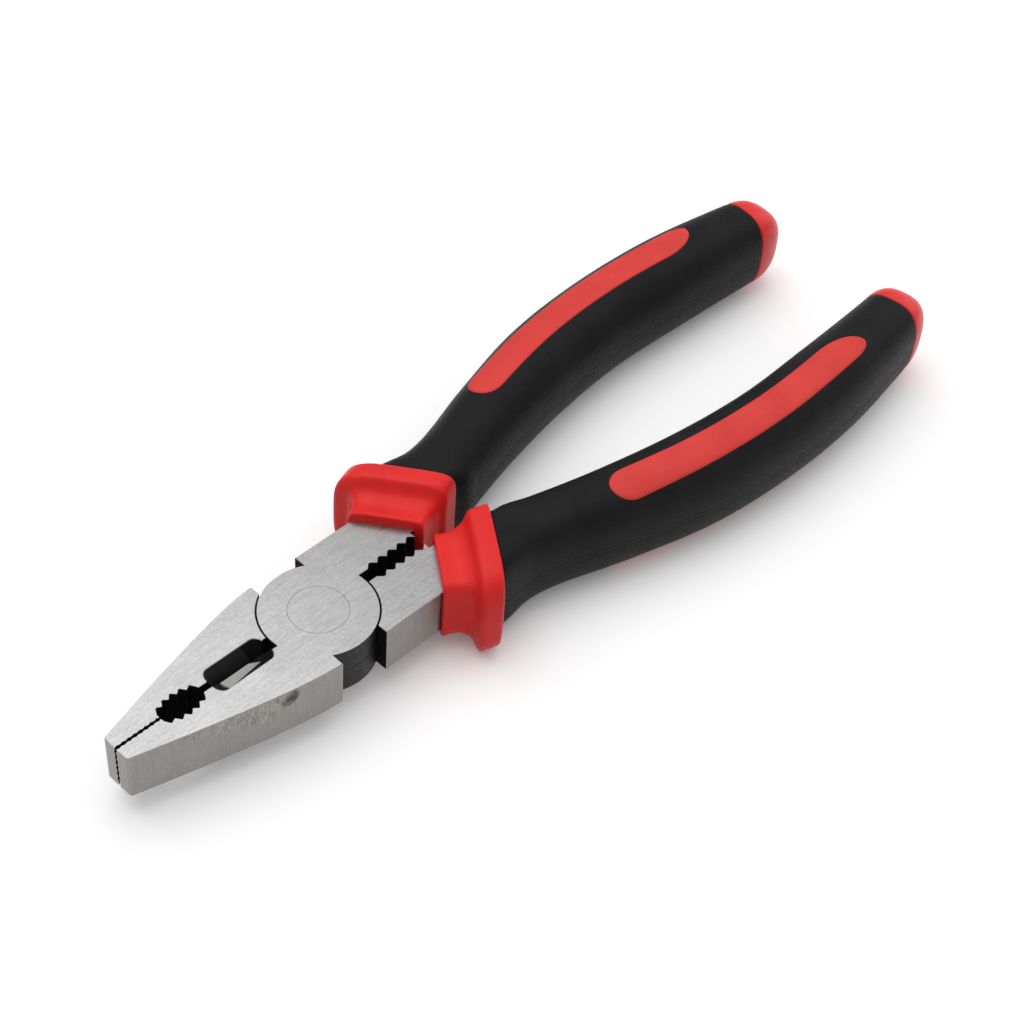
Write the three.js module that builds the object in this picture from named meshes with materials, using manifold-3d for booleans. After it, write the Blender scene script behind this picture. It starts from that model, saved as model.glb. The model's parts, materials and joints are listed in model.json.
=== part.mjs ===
// Combination pliers: two forged steel levers that cross at a lap joint on a countersunk rivet,
// each with a two-colour moulded handle. Millimetres, +X from the jaws to the handles, +Z up.
// The levers are modelled about the pivot, with the middle of the head at z = 0.
import * as THREE from 'three';
import { mergeVertices } from 'three/addons/utils/BufferGeometryUtils.js';
import Module from 'manifold-3d';

// Reach of the tool each way from the pivot
const JAW_REACH = 45.6;
const HANDLE_REACH = 153.6;

// Head and lap joint
const HEAD_THICKNESS = 10.4;
const HEAD_HALF_WIDTH = 12.25;
const TIP_HALF_WIDTH = 3.1;
const JAW_BACK_KNEE = 13.6;
const SHOULDER_X = 5.3;
const DISC_RADIUS = 11;
const DISC_GAP = 0.3;
const LAP_GAP = 0.2;

// Flush rivet
const RIVET_SHANK_RADIUS = 4;
const RIVET_HEAD_RADIUS = 5.6;
const RIVET_HEAD_DEPTH = 1.6;
const RIVET_CLEARANCE = 0.1;

// Gripping flats at the tip
const JAW_GAP = 0.3;
const SERRATION_PITCH = 1.2;
const SERRATION_DEPTH = 0.25;

// Toothed pipe grip behind the flats
const FLAT_LENGTH = 9.6;
const PIPE_GRIP_LENGTH = 8.9;
const PIPE_TOOTH_COUNT = 5;
const PIPE_END_HALF_GAP = 0.9;
const PIPE_MIDDLE_HALF_GAP = 2.15;
const PIPE_NOTCH_DEPTH = 0.85;
const NOTCH_FLOOR_SHARE = 0.22;

// Wire cutter in its recess, between the pipe grip and the disc
const NECK_LENGTH = 1.9;
const NECK_HALF_GAP = 0.7;
const CUTTER_LENGTH = 13.2;
const CUTTER_HALF_WIDTH = 3.05;
const CUTTER_CORNER = 1.6;
const CUTTER_CORNER_BOW = { along: 0.7, across: 0.85 };
const CUTTER_WALL_DEPTH = 3.35;
const CUTTER_WALL_INSET = 2.1;
const CUTTER_END_SLOPE = 0.8;
const CUTTER_FACET_DEPTH = 1.05;
const CUTTER_FACET_HALF_WIDTH = 0.9;
const ROOT_HALF_GAP = 1.4;

// Teeth between the tangs, behind the disc
const TANG_HALF_GAP = 1.2;
const TANG_TEETH_START = 13.2;
const TANG_TOOTH_PITCH = 2.4;
const TANG_TOOTH_COUNT = 5;
const TANG_NOTCH_DEPTH = 0.9;
const TANG_NECK_HALF_GAP = 2.6;

// Front guard: a slanted collar with a lip, a valley and a flange
const GUARD_FRONT = { x: 23, y: 7.1 };
const GUARD_REAR = { x: 34, y: 10.6 };
const GUARD_TILT = 36;
const LIP_HALF_WIDTH = 7.3;
const LIP_HALF_HEIGHT = 7.4;
const LIP_LENGTH = 5;
const FLANGE_HALF_WIDTH = 11;
const FLANGE_HALF_HEIGHT = 10.6;
const FLANGE_LENGTH = 3.8;
const FLANGE_OFFSET = 2.65;
const LIP_FLARE = 1.5;
const GUARD_EDGE_ROUND = 0.7;
const VALLEY_RISE = [0.08, 0.35];
const FLANGE_FRONT_RISE = 0.92;
const LIP_SECTION_POWER = 7;
const FLANGE_OUTER_POWER = 3.8;
const FLANGE_INNER_POWER = 7;
const TANG_SEAT_DEPTH = 2;

// Handle: its widest place, and stations that give the rest as shares of that. Each station has its
// place on the run from the guard to the end, its share of the way out, the width and the height, the
// slant of its section in degrees, how square the section is, and how far the grip's middle stands
// outside the tang's.
const HANDLE_OUT = 23.15;
const GRIP_HALF_WIDTH = 8.6;
const GRIP_HALF_HEIGHT = 10.5;
const HANDLE_STATIONS = [
  {
    run: 0, out: GUARD_REAR.y / HANDLE_OUT, wide: 0.98, high: 0.905,
    tilt: GUARD_TILT, power: 4.5, shift: 0.1,
  },
  { run: 0.05, out: 0.48, wide: 0.88, high: 0.876, tilt: 24, power: 3.2, shift: 0.02 },
  { run: 0.095, out: 0.54, wide: 0.837, high: 0.905, tilt: 15, power: 2.6, shift: 0 },
  { run: 0.22, out: 0.726, wide: 0.895, high: 0.971, tilt: 15, power: 2.35, shift: 0 },
  { run: 0.385, out: 0.918, wide: 0.988, high: 1, tilt: 9.5, power: 2.35, shift: 0 },
  { run: 0.55, out: 1, wide: 1, high: 1, tilt: 1.5, power: 2.35, shift: 0 },
  { run: 0.72, out: 0.983, wide: 0.988, high: 0.99, tilt: -3, power: 2.45, shift: 0 },
  { run: 0.885, out: 0.907, wide: 0.86, high: 0.924, tilt: -5, power: 2.7, shift: 0 },
  { run: 1, out: 0.829, wide: 0.767, high: 0.857, tilt: -6, power: 2.8, shift: 0 },
];
const CAP_LENGTH = 9.3;
const CAP_DOME_POWER = 2.1;
const CAP_SPIGOT_RADIUS = 2.6;
const CAP_SPIGOT_LENGTH = 6;

// Steel tang and hard sleeve inside the grip
const TANG_FRONT_HALF_WIDTH = 4.3;
const TANG_FRONT_HALF_HEIGHT = 4.4;
const TANG_END_HALF_SIZE = 3;
const TANG_END_MARGIN = 16;
const SLEEVE_WALL = 1.4;
const CORE_SECTION_POWER = 4;
const ROUND_SECTION_POWER = 2;

// Inlays let into the top and bottom of each grip
const INLAY_FRONT_MARGIN = 24.2;
const INLAY_REAR_MARGIN = 15.8;
const INLAY_HALF_WIDTH = 3.5;
const INLAY_FRONT_OFFSET = 1.9;
const INLAY_REAR_OFFSET = 0.6;
const INLAY_END_ROUND = 4.5;
const INLAY_TAPER = 10;
const INLAY_TIP_SHARE = 0.5;
const INLAY_PROUD = 0.25;
const INLAY_THICKNESS = 1.45;

// Clearance between pieces that are moulded or pressed on to each other
const FIT_GAP = 0.3;

// Fineness of the round forms
const DISC_SIDES = 64;
const RIVET_SIDES = 48;
const GRIP_SIDES = 24;
const RING_STEP = 5.5;
const GUARD_SIDES = 32;
const CORE_SIDES = 12;
const DOME_RINGS = 6;
const INLAY_STEPS = 12;
const INLAY_END_STEPS = 4;
const NOTCH_STEPS = 4;
const JAW_BACK_STEPS = 10;

// Places worked out from the sizes above
const HEAD_TOP = HEAD_THICKNESS / 2;
const OVERSHOOT = HEAD_THICKNESS;
const PIPE_GRIP_FRONT = FLAT_LENGTH - JAW_REACH;
const PIPE_GRIP_REAR = PIPE_GRIP_FRONT + PIPE_GRIP_LENGTH;
const CUTTER_FRONT = PIPE_GRIP_REAR + NECK_LENGTH;
const CUTTER_REAR = CUTTER_FRONT + CUTTER_LENGTH;
const TANG_TEETH_END = TANG_TEETH_START + TANG_TOOTH_COUNT * TANG_TOOTH_PITCH;
const GRIP_START = GUARD_REAR.x + FIT_GAP;
const CAP_START = HANDLE_REACH - CAP_LENGTH;
const GRIP_END = CAP_START - FIT_GAP;
const TANG_END = CAP_START - TANG_END_MARGIN;
const INLAY_FRONT = GUARD_REAR.x + INLAY_FRONT_MARGIN;
const INLAY_REAR = CAP_START - INLAY_REAR_MARGIN;

const wasm = await Module();
wasm.setup();

// Closed solid from a three.js geometry
function solidOf(geometry) {
  const bare = new THREE.BufferGeometry();
  bare.setAttribute('position', geometry.getAttribute('position').clone());
  bare.setIndex(geometry.getIndex());
  const welded = mergeVertices(bare, 1e-4);
  return new wasm.Manifold(new wasm.Mesh({
    numProp: 3,
    vertProperties: new Float32Array(welded.getAttribute('position').array),
    triVerts: new Uint32Array(welded.getIndex().array),
  }));
}

// Named mesh from a solid
function pieceOf(name, solid, material) {
  const mesh = solid.getMesh();
  const geometry = new THREE.BufferGeometry();
  geometry.setAttribute('position', new THREE.BufferAttribute(mesh.vertProperties, 3));
  geometry.setIndex(new THREE.BufferAttribute(mesh.triVerts, 1));
  geometry.computeVertexNormals();
  const piece = new THREE.Mesh(geometry, material);
  piece.name = name;
  return piece;
}

// Upright prism of a plan outline
function prism(shape, low, high) {
  const form = { depth: high - low, bevelEnabled: false, curveSegments: NOTCH_STEPS };
  const geometry = new THREE.ExtrudeGeometry(shape, form);
  geometry.translate(0, 0, low);
  return solidOf(geometry);
}

// Upright cylinder on the pivot
function pivotCylinder(radius, low, high) {
  const geometry = new THREE.CylinderGeometry(radius, radius, high - low, DISC_SIDES);
  geometry.rotateX(Math.PI / 2);
  geometry.translate(0, 0, (low + high) / 2);
  return solidOf(geometry);
}

// Skin over a row of rings, closed by a flat face at the front and by a flat face or a tip at the rear
function loft(rings, tip = null) {
  const count = rings[0].length;
  const last = rings.length - 1;
  const points = rings.flat();
  const faces = [];
  const centreOf = (ring) => ring.reduce((sum, p) => sum.add(p), new THREE.Vector3()).divideScalar(count);
  const front = points.push(centreOf(rings[0])) - 1;
  const rear = points.push(tip ?? centreOf(rings[last])) - 1;
  for (let k = 0; k < count; k += 1) {
    const next = (k + 1) % count;
    faces.push(front, next, k, rear, last * count + k, last * count + next);
    for (let i = 0; i < last; i += 1) {
      const here = i * count;
      const there = here + count;
      faces.push(here + k, here + next, there + next, here + k, there + next, there + k);
    }
  }
  const geometry = new THREE.BufferGeometry().setFromPoints(points);
  geometry.setIndex(faces);
  return solidOf(geometry);
}

// Evenly spaced values from one end to the other
function spread(from, to, steps) {
  return Array.from({ length: steps + 1 }, (_, k) => from + ((to - from) * k) / steps);
}

// Stations of the handle at their places along X, led by the front of the guard
const gripStations = HANDLE_STATIONS.map((station) => ({
  x: GUARD_REAR.x + station.run * (HANDLE_REACH - GUARD_REAR.x),
  y: station.out * HANDLE_OUT,
  halfWidth: station.wide * GRIP_HALF_WIDTH,
  halfHeight: station.high * GRIP_HALF_HEIGHT,
  tilt: station.tilt,
  power: station.power,
  shift: station.shift * GRIP_HALF_WIDTH,
}));
const stations = [{ ...gripStations[0], ...GUARD_FRONT }, ...gripStations];

// Places of the section rings, shared by every form that follows the handle
const ringPlaces = stations.slice(1).flatMap((station, k) => {
  const from = stations[k].x;
  return spread(from, station.x, Math.ceil((station.x - from) / RING_STEP)).slice(1);
});

// Ring places from one end of a form to the other
function placesBetween(from, to) {
  return [from, ...ringPlaces.filter((x) => x > from + FIT_GAP && x < to - FIT_GAP), to];
}

// Smooth value of one station size at a place along X
function along(key, x) {
  const last = stations.length - 1;
  let i = 0;
  while (i < last - 1 && x > stations[i + 1].x) i += 1;
  const slopeAt = (k) => {
    const before = stations[Math.max(k - 1, 0)];
    const after = stations[Math.min(k + 1, last)];
    return (after[key] - before[key]) / (after.x - before.x);
  };
  const from = stations[i];
  const to = stations[i + 1];
  const step = to.x - from.x;
  const f = (x - from.x) / step;
  const held = from[key] * (1 + 2 * f) * (1 - f) ** 2 + to[key] * f * f * (3 - 2 * f);
  return held + step * (slopeAt(i) * f * (1 - f) ** 2 - slopeAt(i + 1) * f * f * (1 - f));
}

// Rounded section ring, square to a direction turned by tilt degrees from +X. A higher power makes a
// squarer corner, and the outer and inner sides have a power each.
function sectionRing(centre, tilt, halfWidth, halfHeight, outerPower, innerPower, sides) {
  const turn = THREE.MathUtils.degToRad(tilt);
  return Array.from({ length: sides }, (_, k) => {
    const angle = (k / sides) * 2 * Math.PI;
    const power = Math.cos(angle) > 0 ? outerPower : innerPower;
    const rounded = (value) => Math.sign(value) * Math.abs(value) ** (2 / power);
    const across = rounded(Math.cos(angle)) * halfWidth;
    const up = rounded(Math.sin(angle)) * halfHeight;
    return new THREE.Vector3(centre.x - Math.sin(turn) * across, centre.y + Math.cos(turn) * across, up);
  });
}

// Section ring on the handle's centre line, or shifted outwards from it
function handleRing(x, halfWidth, halfHeight, power, sides, shift = 0) {
  const tilt = along('tilt', x);
  const turn = THREE.MathUtils.degToRad(tilt);
  const centre = { x: x - Math.sin(turn) * shift, y: along('y', x) + Math.cos(turn) * shift };
  return sectionRing(centre, tilt, halfWidth, halfHeight, power, power, sides);
}

// Row of V notches along an inner edge: tips lie at edge(x), notches cut away from the middle
function notchRow(shape, from, to, count, edge, depth, side) {
  const tips = spread(from, to, count);
  for (let k = 0; k < count; k += 1) {
    const middle = (tips[k] + tips[k + 1]) / 2;
    const flat = ((tips[k + 1] - tips[k]) * NOTCH_FLOOR_SHARE) / 2;
    const floor = (edge(tips[k]) + edge(tips[k + 1])) / 2 + depth;
    shape.lineTo(middle - flat, side * floor);
    shape.lineTo(middle + flat, side * floor);
    shape.lineTo(tips[k + 1], side * edge(tips[k + 1]));
  }
}

// Half gap of the pipe grip's tooth tips, bowed between its two ends
function pipeGripEdge(x) {
  const share = (2 * (x - PIPE_GRIP_FRONT)) / PIPE_GRIP_LENGTH - 1;
  return PIPE_END_HALF_GAP + (PIPE_MIDDLE_HALF_GAP - PIPE_END_HALF_GAP) * (1 - share * share);
}

// Jaw in plan, on the -Y side: back, tip, serrated flat, pipe grip, neck, cutting edge and root
function jawOutline() {
  const flat = JAW_GAP / 2;
  const serrations = Math.round(FLAT_LENGTH / SERRATION_PITCH);
  const ramp = NECK_HALF_GAP - flat;
  const shape = new THREE.Shape();
  shape.moveTo(0, -ROOT_HALF_GAP);
  shape.lineTo(0, -DISC_RADIUS / 2);
  shape.lineTo(-SHOULDER_X, -DISC_RADIUS / 2);
  shape.lineTo(-SHOULDER_X, -HEAD_HALF_WIDTH);
  const back = new THREE.QuadraticBezierCurve(
    new THREE.Vector2(-SHOULDER_X, -HEAD_HALF_WIDTH),
    new THREE.Vector2(-JAW_BACK_KNEE, -HEAD_HALF_WIDTH),
    new THREE.Vector2(-JAW_REACH, -TIP_HALF_WIDTH),
  );
  back.getPoints(JAW_BACK_STEPS).slice(1).forEach((p) => shape.lineTo(p.x, p.y));
  shape.lineTo(-JAW_REACH, -flat);
  spread(-JAW_REACH, PIPE_GRIP_FRONT, serrations * 2).slice(1).forEach((x, k) => {
    shape.lineTo(x, -(flat + (k % 2 === 0 ? SERRATION_DEPTH : 0)));
  });
  shape.lineTo(PIPE_GRIP_FRONT, -PIPE_END_HALF_GAP);
  notchRow(shape, PIPE_GRIP_FRONT, PIPE_GRIP_REAR, PIPE_TOOTH_COUNT, pipeGripEdge, PIPE_NOTCH_DEPTH, -1);
  shape.lineTo(PIPE_GRIP_REAR, -NECK_HALF_GAP);
  shape.lineTo(CUTTER_FRONT + ramp, -NECK_HALF_GAP);
  shape.lineTo(CUTTER_FRONT + CUTTER_WALL_INSET, -flat);
  shape.lineTo(CUTTER_REAR - CUTTER_WALL_INSET, -flat);
  shape.lineTo(CUTTER_REAR, -ROOT_HALF_GAP);
  return shape;
}

// Recess over the cutting edges: steep walls from the face of the head, then the ground facets
function cutterRecess() {
  const outline = (inset, halfWidth, endHalfWidth, z) => {
    const front = CUTTER_FRONT + inset;
    const rear = CUTTER_REAR - inset;
    const corner = CUTTER_CORNER * (halfWidth / CUTTER_HALF_WIDTH);
    const side = [
      [front, endHalfWidth],
      [front + corner * CUTTER_CORNER_BOW.along, halfWidth * CUTTER_CORNER_BOW.across],
      [front + corner, halfWidth],
      [rear - corner, halfWidth],
      [rear, endHalfWidth],
    ];
    const right = side.map(([x, y]) => new THREE.Vector3(x, -y, z));
    const left = side.map(([x, y]) => new THREE.Vector3(x, y, z)).reverse();
    return [...right, ...left];
  };
  const facetTop = HEAD_TOP - CUTTER_WALL_DEPTH;
  const edgeTop = facetTop - CUTTER_FACET_DEPTH;
  const edge = JAW_GAP / 2;
  const wallRise = OVERSHOOT / CUTTER_WALL_DEPTH;
  const facetInset = CUTTER_WALL_INSET * CUTTER_END_SLOPE;
  const spreadOut = (CUTTER_HALF_WIDTH - CUTTER_FACET_HALF_WIDTH) * wallRise;
  const topHalfWidth = CUTTER_HALF_WIDTH + spreadOut;
  const topEndHalfWidth = NECK_HALF_GAP + spreadOut;
  return loft([
    outline(CUTTER_WALL_INSET, edge, edge / 2, edgeTop),
    outline(facetInset, CUTTER_FACET_HALF_WIDTH, edge, facetTop),
    outline(0, CUTTER_HALF_WIDTH, NECK_HALF_GAP, HEAD_TOP),
    outline(-facetInset * wallRise, topHalfWidth, topEndHalfWidth, HEAD_TOP + OVERSHOOT),
  ]);
}

// Root of the tang in plan, on the +Y side, grown by a clearance where the guard takes it
function tangRootOutline(grow) {
  const turn = THREE.MathUtils.degToRad(GUARD_TILT);
  const seat = {
    x: GUARD_FRONT.x + Math.cos(turn) * TANG_SEAT_DEPTH,
    y: GUARD_FRONT.y + Math.sin(turn) * TANG_SEAT_DEPTH,
  };
  const seatX = (y) => seat.x - Math.tan(turn) * (y - seat.y) + grow / Math.cos(turn);
  const inner = TANG_NECK_HALF_GAP - grow;
  const outer = HEAD_HALF_WIDTH + grow;
  const shape = new THREE.Shape();
  shape.moveTo(SHOULDER_X, outer);
  shape.lineTo(SHOULDER_X, DISC_RADIUS / 2);
  shape.lineTo(0, DISC_RADIUS / 2);
  if (grow > 0) {
    shape.lineTo(0, inner);
  } else {
    shape.lineTo(0, TANG_HALF_GAP);
    shape.lineTo(TANG_TEETH_START, TANG_HALF_GAP);
    const level = () => TANG_HALF_GAP;
    notchRow(shape, TANG_TEETH_START, TANG_TEETH_END, TANG_TOOTH_COUNT, level, TANG_NOTCH_DEPTH, 1);
    shape.lineTo(TANG_TEETH_END, inner);
  }
  shape.lineTo(seatX(inner), inner);
  shape.lineTo(seatX(outer), outer);
  return shape;
}

// Tang inside the handle, grown by a clearance or a wall
function tangCore(from, to, grow) {
  const span = TANG_END - GUARD_FRONT.x;
  const share = (x) => Math.min((x - GUARD_FRONT.x) / span, 1);
  const taper = (x, start) => start + (TANG_END_HALF_SIZE - start) * share(x);
  return loft(placesBetween(from, to).map((x) => {
    const halfWidth = taper(x, TANG_FRONT_HALF_WIDTH) + grow;
    const halfHeight = taper(x, TANG_FRONT_HALF_HEIGHT) + grow;
    return handleRing(x, halfWidth, halfHeight, CORE_SECTION_POWER, CORE_SIDES);
  }));
}

// Outside of the grip, grown by a clearance, between two places along X
function gripForm(from, to, grow) {
  return loft(placesBetween(from, to).map((x) => {
    const halfWidth = along('halfWidth', x) + grow;
    const halfHeight = along('halfHeight', x) + grow;
    return handleRing(x, halfWidth, halfHeight, along('power', x), GRIP_SIDES, along('shift', x));
  }));
}

// Rivet turned about the pivot, grown by a clearance for its hole
function rivetForm(grow, end) {
  const head = RIVET_HEAD_RADIUS + grow;
  const shank = RIVET_SHANK_RADIUS + grow;
  const neck = HEAD_TOP - RIVET_HEAD_DEPTH;
  const half = [[shank, neck], [head, HEAD_TOP], [head, end], [0, end]];
  const profile = [...half.map(([r, z]) => [r, -z]).reverse(), ...half];
  const points = profile.map(([r, z]) => new THREE.Vector2(r, z));
  const distinct = points.filter((p, k) => k === 0 || p.distanceTo(points[k - 1]) > 0);
  const geometry = new THREE.LatheGeometry(distinct, RIVET_SIDES);
  geometry.rotateX(Math.PI / 2);
  return solidOf(geometry);
}

// Lever: jaw on the -Y side, half-lap disc on the upper side, tang on the +Y side
function leverSolid() {
  const jaw = prism(jawOutline(), -HEAD_TOP, HEAD_TOP);
  const recess = cutterRecess();
  const root = prism(tangRootOutline(0), -HEAD_TOP, HEAD_TOP);
  const core = tangCore(GUARD_FRONT.x, TANG_END, 0);
  const disc = pivotCylinder(DISC_RADIUS, LAP_GAP / 2, HEAD_TOP);
  const room = pivotCylinder(DISC_RADIUS + DISC_GAP, -HEAD_TOP - OVERSHOOT, LAP_GAP / 2);
  const body = jaw.subtract(recess).subtract(recess.scale([1, 1, -1])).add(root).add(core);
  const hole = rivetForm(RIVET_CLEARANCE, HEAD_TOP + OVERSHOOT);
  return body.subtract(room).add(disc).subtract(hole);
}

// Front guard: lip flaring outwards, valley and flange on slanted rings, bored for the tang
function guardSolid() {
  const length = Math.hypot(GUARD_REAR.x - GUARD_FRONT.x, GUARD_REAR.y - GUARD_FRONT.y);
  const lipEnd = LIP_LENGTH / length;
  const flangeStart = 1 - FLANGE_LENGTH / length;
  const round = GUARD_EDGE_ROUND / length;
  const turn = THREE.MathUtils.degToRad(GUARD_TILT);
  const ring = (share, grow, size) => {
    const sizeOf = (lip, flange) => lip + (flange - lip) * size;
    const flare = (LIP_FLARE * Math.min(share / lipEnd, 1) * (1 - size)) / 2;
    const offset = sizeOf(0, FLANGE_OFFSET) + flare;
    const centre = {
      x: GUARD_FRONT.x + (GUARD_REAR.x - GUARD_FRONT.x) * share - Math.sin(turn) * offset,
      y: GUARD_FRONT.y + (GUARD_REAR.y - GUARD_FRONT.y) * share + Math.cos(turn) * offset,
    };
    const halfWidth = sizeOf(LIP_HALF_WIDTH, FLANGE_HALF_WIDTH) + flare + grow;
    const halfHeight = sizeOf(LIP_HALF_HEIGHT, FLANGE_HALF_HEIGHT) + grow;
    const outerPower = sizeOf(LIP_SECTION_POWER, FLANGE_OUTER_POWER);
    const innerPower = sizeOf(LIP_SECTION_POWER, FLANGE_INNER_POWER);
    return sectionRing(centre, GUARD_TILT, halfWidth, halfHeight, outerPower, innerPower, GUARD_SIDES);
  };
  const shell = loft([
    ring(0, -GUARD_EDGE_ROUND, 0),
    ring(round, 0, 0),
    ring(lipEnd, 0, 0),
    ring((lipEnd * 2 + flangeStart) / 3, 0, VALLEY_RISE[0]),
    ring((lipEnd + flangeStart * 2) / 3, 0, VALLEY_RISE[1]),
    ring(flangeStart, 0, FLANGE_FRONT_RISE),
    ring(1 - round, 0, 1),
    ring(1, -GUARD_EDGE_ROUND, 1),
  ]);
  const seat = prism(tangRootOutline(FIT_GAP), -HEAD_TOP - FIT_GAP, HEAD_TOP + FIT_GAP);
  const bore = tangCore(GUARD_FRONT.x, GUARD_REAR.x + GUARD_EDGE_ROUND, FIT_GAP);
  return shell.subtract(seat).subtract(bore);
}

// Spigot of the end cap along the end of the handle, grown by a clearance for its socket
function spigot(grow) {
  const radius = CAP_SPIGOT_RADIUS + grow;
  const rings = [CAP_START - CAP_SPIGOT_LENGTH - grow, CAP_START + grow + FIT_GAP].map((x) => (
    handleRing(x, radius, radius, ROUND_SECTION_POWER, CORE_SIDES)
  ));
  return loft(rings);
}

// Hard sleeve between the tang and the grip
function sleeveSolid() {
  const outside = tangCore(GRIP_START, GRIP_END, FIT_GAP + SLEEVE_WALL);
  const bore = tangCore(GUARD_REAR.x - FIT_GAP, TANG_END + FIT_GAP, FIT_GAP);
  return outside.subtract(bore).subtract(spigot(FIT_GAP));
}

// Inlay in plan: a strip beside the centre line with a round front end, and a rear end that tapers to
// its outer side, drawn in by a clearance
function inlayOutline(inset) {
  const front = INLAY_FRONT + inset;
  const rear = INLAY_REAR - inset;
  const ends = Array.from({ length: INLAY_END_STEPS }, (_, k) => (
    INLAY_END_ROUND * (1 - Math.cos((k / INLAY_END_STEPS) * (Math.PI / 2)))
  ));
  const places = [
    ...ends.map((d) => front + d),
    ...spread(front + INLAY_END_ROUND, rear - INLAY_END_ROUND, INLAY_STEPS),
    ...ends.map((d) => rear - d).reverse(),
  ];
  const edgePoint = (x, side) => {
    const rearLength = side < 0 ? INLAY_TAPER : INLAY_END_ROUND;
    const rise = (from, length) => {
      const share = 1 - Math.min(from, length) / length;
      return Math.sqrt(Math.max(1 - share * share, 0));
    };
    const spreadOut = side * rise(x - front, INLAY_END_ROUND);
    const wide = INLAY_TIP_SHARE + (spreadOut - INLAY_TIP_SHARE) * rise(rear - x, rearLength);
    const run = (x - INLAY_FRONT) / (INLAY_REAR - INLAY_FRONT);
    const offset = INLAY_FRONT_OFFSET + (INLAY_REAR_OFFSET - INLAY_FRONT_OFFSET) * run;
    const turn = THREE.MathUtils.degToRad(along('tilt', x));
    const across = offset + wide * (INLAY_HALF_WIDTH - inset);
    return new THREE.Vector2(x - Math.sin(turn) * across, along('y', x) + Math.cos(turn) * across);
  };
  const inner = places.map((x) => edgePoint(x, -1));
  const outer = places.slice(1, -1).map((x) => edgePoint(x, 1)).reverse();
  return new THREE.Shape([...inner, ...outer]);
}

// Upright block over the plan of an inlay, above or below the middle of the grip
function inlayBlock(inset, side) {
  const far = FLANGE_HALF_HEIGHT + OVERSHOOT;
  return side > 0 ? prism(inlayOutline(inset), 0, far) : prism(inlayOutline(inset), -far, 0);
}

// Inlay: a strip of the grip's skin, standing a little proud of it
function inlaySolid(side) {
  const skin = gripForm(GRIP_START, GRIP_END, INLAY_PROUD);
  const floor = gripForm(GRIP_START, GRIP_END, INLAY_PROUD - INLAY_THICKNESS);
  return inlayBlock(FIT_GAP, side).intersect(skin).subtract(floor);
}

// Black grip: bored for the sleeve, with a pocket for each inlay
function gripSolid() {
  const bore = tangCore(GUARD_REAR.x - FIT_GAP, CAP_START + FIT_GAP, 2 * FIT_GAP + SLEEVE_WALL);
  const floor = gripForm(GRIP_START, GRIP_END, INLAY_PROUD - INLAY_THICKNESS - FIT_GAP);
  const pockets = inlayBlock(0, 1).add(inlayBlock(0, -1)).subtract(floor);
  return gripForm(GRIP_START, GRIP_END, 0).subtract(bore).subtract(pockets);
}

// End cap: a rounded end with its spigot
function capSolid() {
  const halfWidth = along('halfWidth', CAP_START);
  const halfHeight = along('halfHeight', CAP_START);
  const rounded = (value) => value ** (2 / CAP_DOME_POWER);
  const rings = Array.from({ length: DOME_RINGS }, (_, k) => {
    const angle = (k / DOME_RINGS) * (Math.PI / 2);
    const x = CAP_START + CAP_LENGTH * rounded(Math.sin(angle));
    const size = rounded(Math.cos(angle));
    return handleRing(x, halfWidth * size, halfHeight * size, along('power', CAP_START), GRIP_SIDES);
  });
  const tip = new THREE.Vector3(HANDLE_REACH, along('y', HANDLE_REACH), 0);
  return loft(rings, tip).add(spigot(0));
}

// Finishes
const steel = () => new THREE.MeshStandardMaterial({ color: 0xc4c4c6, roughness: 0.35, metalness: 1 });
const blackRubber = () => new THREE.MeshStandardMaterial({ color: 0x262628, roughness: 0.7, metalness: 0 });
const redPlastic = () => new THREE.MeshStandardMaterial({ color: 0xde2d2a, roughness: 0.35, metalness: 0 });
const redRubber = () => new THREE.MeshStandardMaterial({ color: 0xe54640, roughness: 0.6, metalness: 0 });

const lever = leverSolid();
const guard = guardSolid();
const sleeve = sleeveSolid();
const grip = gripSolid();
const upperInlay = inlaySolid(1);
const lowerInlay = inlaySolid(-1);
const cap = capSolid();

// One half of the tool: a lever with its handle, named for the side its handle is on
function halfTool(side) {
  const half = new THREE.Group();
  half.add(
    pieceOf(`${side}_lever`, lever, steel()),
    pieceOf(`${side}_inner_sleeve`, sleeve, redPlastic()),
    pieceOf(`${side}_front_guard`, guard, redPlastic()),
    pieceOf(`${side}_grip`, grip, blackRubber()),
    pieceOf(`${side}_upper_inlay`, side === 'right' ? upperInlay : lowerInlay, redRubber()),
    pieceOf(`${side}_lower_inlay`, side === 'right' ? lowerInlay : upperInlay, redRubber()),
    pieceOf(`${side}_end_cap`, cap, redPlastic()),
  );
  return half;
}

// The left half is the right half turned over about the length of the tool
const rightHalf = halfTool('right');
const leftHalf = halfTool('left');
leftHalf.rotation.x = Math.PI;

const pliers = new THREE.Group();
pliers.add(rightHalf, leftHalf, pieceOf('pivot_rivet', rivetForm(0, HEAD_TOP), steel()));

// The origin is under the middle of the tool, on the surface it lies on
const box = new THREE.Box3().setFromObject(pliers);
const middle = box.getCenter(new THREE.Vector3());
pliers.position.set(-middle.x, -middle.y, -box.min.z);

export default pliers;
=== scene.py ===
# Combination pliers: ground steel levers crossing at a flush rivet, with two-colour moulded handles.
import json
import math

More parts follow.
